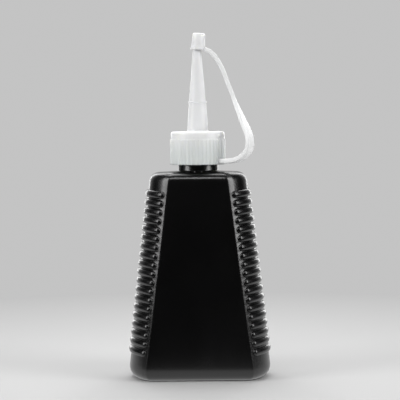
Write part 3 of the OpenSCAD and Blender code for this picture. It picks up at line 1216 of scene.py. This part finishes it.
@dataclass(frozen=True)
class Studio:
    """Plain pale floor and surroundings, soft lamps and the camera at the photograph's angle.

    The camera's sizes are in millimetres, the others in metres.
    """

    backdrop: float = 0.55
    ambient: float = 0.24
    dim_side: float = 0.035
    dim_span: Span = (0.45, 0.85)
    floor_size: float = 8.0
    floor_paint: float = 0.53
    floor_roughness: float = 0.9
    floor_sheen: float = 0.05
    fade: Span = (0.08, 0.30)
    gloss_floor: float = 0.72
    gloss_centre: Triple = (0.0, 0.4, 0.0)
    gloss_span: Span = (0.42, 0.47)
    camera_place: Triple = (4.0, -567.0, 105.65)
    camera_aim: Triple = (0.69, 0.0, 76.33)
    camera_roll: float = -0.575
    frame_mm: float = 172.25
    sensor: float = 36.0

    LAMPS = (
        SoftBox("left_box", (-0.45, -0.215, 0.30), 0.22, 0.46, 5.0, (0.0, 0.0, 0.11)),
        SoftBox("right_box", (0.45, -0.215, 0.30), 0.22, 0.46, 5.3, (0.0, 0.0, 0.11)),
        SoftBox("left_rim", (-0.22, 0.50, 0.16), 0.10, 0.45, 3.0),
        SoftBox("right_rim", (0.22, 0.50, 0.16), 0.10, 0.45, 3.0),
        SoftBox("top_box", (0.0, 0.10, 0.62), 0.50, 0.20, 5.2),
        SoftBox("front_box", (-0.10, -0.46, 0.60), 0.40, 0.10, 6.5),
        SoftBox("crown_box", (0.0, 0.42, 0.50), 0.60, 0.26, 3.0),
    )

    def wall_glow(self, board: NodeBoard) -> Socket:
        """Glow of the pale surroundings, which gloss shows in full only behind the object.

        Args:
            board: node board of the world or the floor.

        Returns:
            The glow's socket.
        """
        aim = board.add("ShaderNodeVectorMath", {0: board.place}, operation="NORMALIZE")
        side = board.add("ShaderNodeSeparateXYZ", {0: aim.outputs[0]}).outputs["Y"]
        share = board.spread(side, self.dim_side, 1, self.dim_span)
        shown = board.math("MAXIMUM", board.rays("Camera"), share)
        return board.math("MULTIPLY", shown, self.backdrop)

    @staticmethod
    def seen(board: NodeBoard) -> Socket:
        """Is 1 for rays from the camera, from a glossy surface or through a clear one."""
        clear = board.math("MAXIMUM", board.rays("Glossy"), board.rays("Transmission"))
        return board.math("MAXIMUM", board.rays("Camera"), clear)

    def floor(self) -> None:
        """Lays the pale floor, which fades into the surroundings away from the object."""
        deselect_all()
        bpy.ops.mesh.primitive_plane_add(size=self.floor_size, location=(0, 0, 0))
        floor = bpy.context.object
        floor.name = "floor"
        board = PaintBoard("floor_paint")
        board.set(Base_Color=(self.floor_paint,) * 3 + (1,), Roughness=self.floor_roughness)
        board.set(Specular_IOR_Level=self.floor_sheen)
        reach = board.add("ShaderNodeVectorMath", {0: board.place}, operation="LENGTH")
        far = board.spread(reach.outputs["Value"], 0, 1, self.fade)
        inputs = {0: board.place, 1: self.gloss_centre}
        behind = board.add("ShaderNodeVectorMath", inputs, operation="DISTANCE")
        near = board.spread(behind.outputs["Value"], self.gloss_floor, 0, self.gloss_span)
        camera = board.rays("Camera")
        gloss = board.math("SUBTRACT", self.seen(board), camera)
        lit = board.math("MULTIPLY", near, gloss)
        glow = board.math("MAXIMUM", self.wall_glow(board), lit)
        haze = board.add("ShaderNodeEmission", {"Strength": glow})
        shown = board.math("MAXIMUM", board.math("MULTIPLY", far, camera), gloss)
        inputs = {0: shown, 1: board.shader.outputs[0], 2: haze.outputs[0]}
        blend = board.add("ShaderNodeMixShader", inputs)
        output = next(n for n in board.tree.nodes if n.type == "OUTPUT_MATERIAL")
        board.fill(output, {"Surface": blend.outputs[0]})
        floor.data.materials.append(board.material)

    def world(self) -> None:
        """Lights the room evenly and shows pale surroundings."""
        world = bpy.data.worlds.new("studio")
        world.use_nodes = True
        bpy.context.scene.world = world
        board = NodeBoard(world.node_tree, "BACKGROUND", "Generated")
        inputs = {0: self.seen(board), 2: self.ambient, 3: self.wall_glow(board)}
        glow = board.add("ShaderNodeMix", inputs, data_type="FLOAT").outputs[0]
        board.set(Strength=glow, Color=(1, 1, 1, 1))

    def camera(self) -> None:
        """Stands the camera where the photograph was taken from."""
        place, aim = Vector(self.camera_place) * MM, Vector(self.camera_aim) * MM
        deselect_all()
        bpy.ops.object.camera_add(location=place)
        camera = bpy.context.object
        camera.data.sensor_width = self.sensor
        camera.data.lens = self.sensor * (aim - place).length / (self.frame_mm * MM)
        roll = Quaternion((0, 0, 1), math.radians(self.camera_roll))
        camera.rotation_euler = ((aim - place).to_track_quat("-Z", "Y") @ roll).to_euler()
        bpy.context.scene.camera = camera

    def build(self) -> None:
        """Makes the floor, the light and the camera."""
        self.floor()
        self.world()
        for lamp in self.LAMPS:
            lamp.light()
        self.camera()
        bpy.context.scene.view_settings.view_transform = "Standard"


def dress_inside(nodes: dict[str, Piece]) -> None:
    """Gives the washer and the powder, which keep their own solids, their finishes.

    Args:
        nodes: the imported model's nodes by name.
    """
    for name, finish in (("seal_liner", LinerFoam()), ("graphite_powder", GraphitePowder())):
        node = nodes[name]
        node.data.materials.clear()
        node.data.materials.append(finish.material())
        log.info("%s: kept, with its finish", name)


def main() -> None:
    """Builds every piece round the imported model."""
    logging.basicConfig(level=logging.INFO, format="%(message)s")
    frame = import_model()
    natural = NaturalPolyethylene().material()
    bottle = Bottle(BlackPolyethylene().material())
    closure = Closure(natural, bottle)
    strap = Strap(NaturalPolyethylene.thin().material(), closure)
    for assembly in (bottle, closure, strap, TipCap(natural, strap)):
        assembly.build()
    dress_inside(frame["nodes"])
    Studio().build()


if __name__ == "__main__":
    main()
